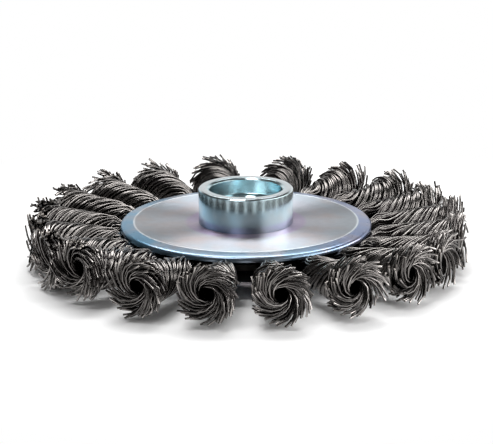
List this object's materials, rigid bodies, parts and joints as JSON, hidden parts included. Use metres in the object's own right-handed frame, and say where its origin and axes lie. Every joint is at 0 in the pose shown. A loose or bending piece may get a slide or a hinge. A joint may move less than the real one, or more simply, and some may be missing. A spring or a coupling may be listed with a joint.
{
  "type": "wire wheel brush",
  "caption": "Twisted-knot steel wire wheel for an angle grinder, with zinc-plated side plates and a threaded collar nut.",
  "frame": {"origin": "on the wheel's axis, in the plane that the lowest wire ends rest on", "axes": "+Z is the wheel's axis and points out of the collar nut; X and Y lie in the wheel's plane"},
  "size_m": [0.115, 0.115, 0.0203],
  "materials": {
    "zinc_nut": "bright zinc plating",
    "zinc_plate": "bright zinc plating",
    "core_steel": "plain rolled steel",
    "wire": "dark tempered wire"
  },
  "bodies": {
    "root": {"hub_nut": "zinc_nut", "front_plate": "zinc_plate", "core_disc": "core_steel", "rear_plate": "zinc_plate", "knot_01": "wire", "knot_02": "wire", "knot_03": "wire", "knot_04": "wire", "knot_05": "wire", "knot_06": "wire", "knot_07": "wire", "knot_08": "wire", "knot_09": "wire", "knot_10": "wire", "knot_11": "wire", "knot_12": "wire", "knot_13": "wire", "knot_14": "wire", "knot_15": "wire", "knot_16": "wire", "knot_17": "wire", "knot_18": "wire", "knot_19": "wire", "knot_20": "wire"}
  },
  "joints": []
}
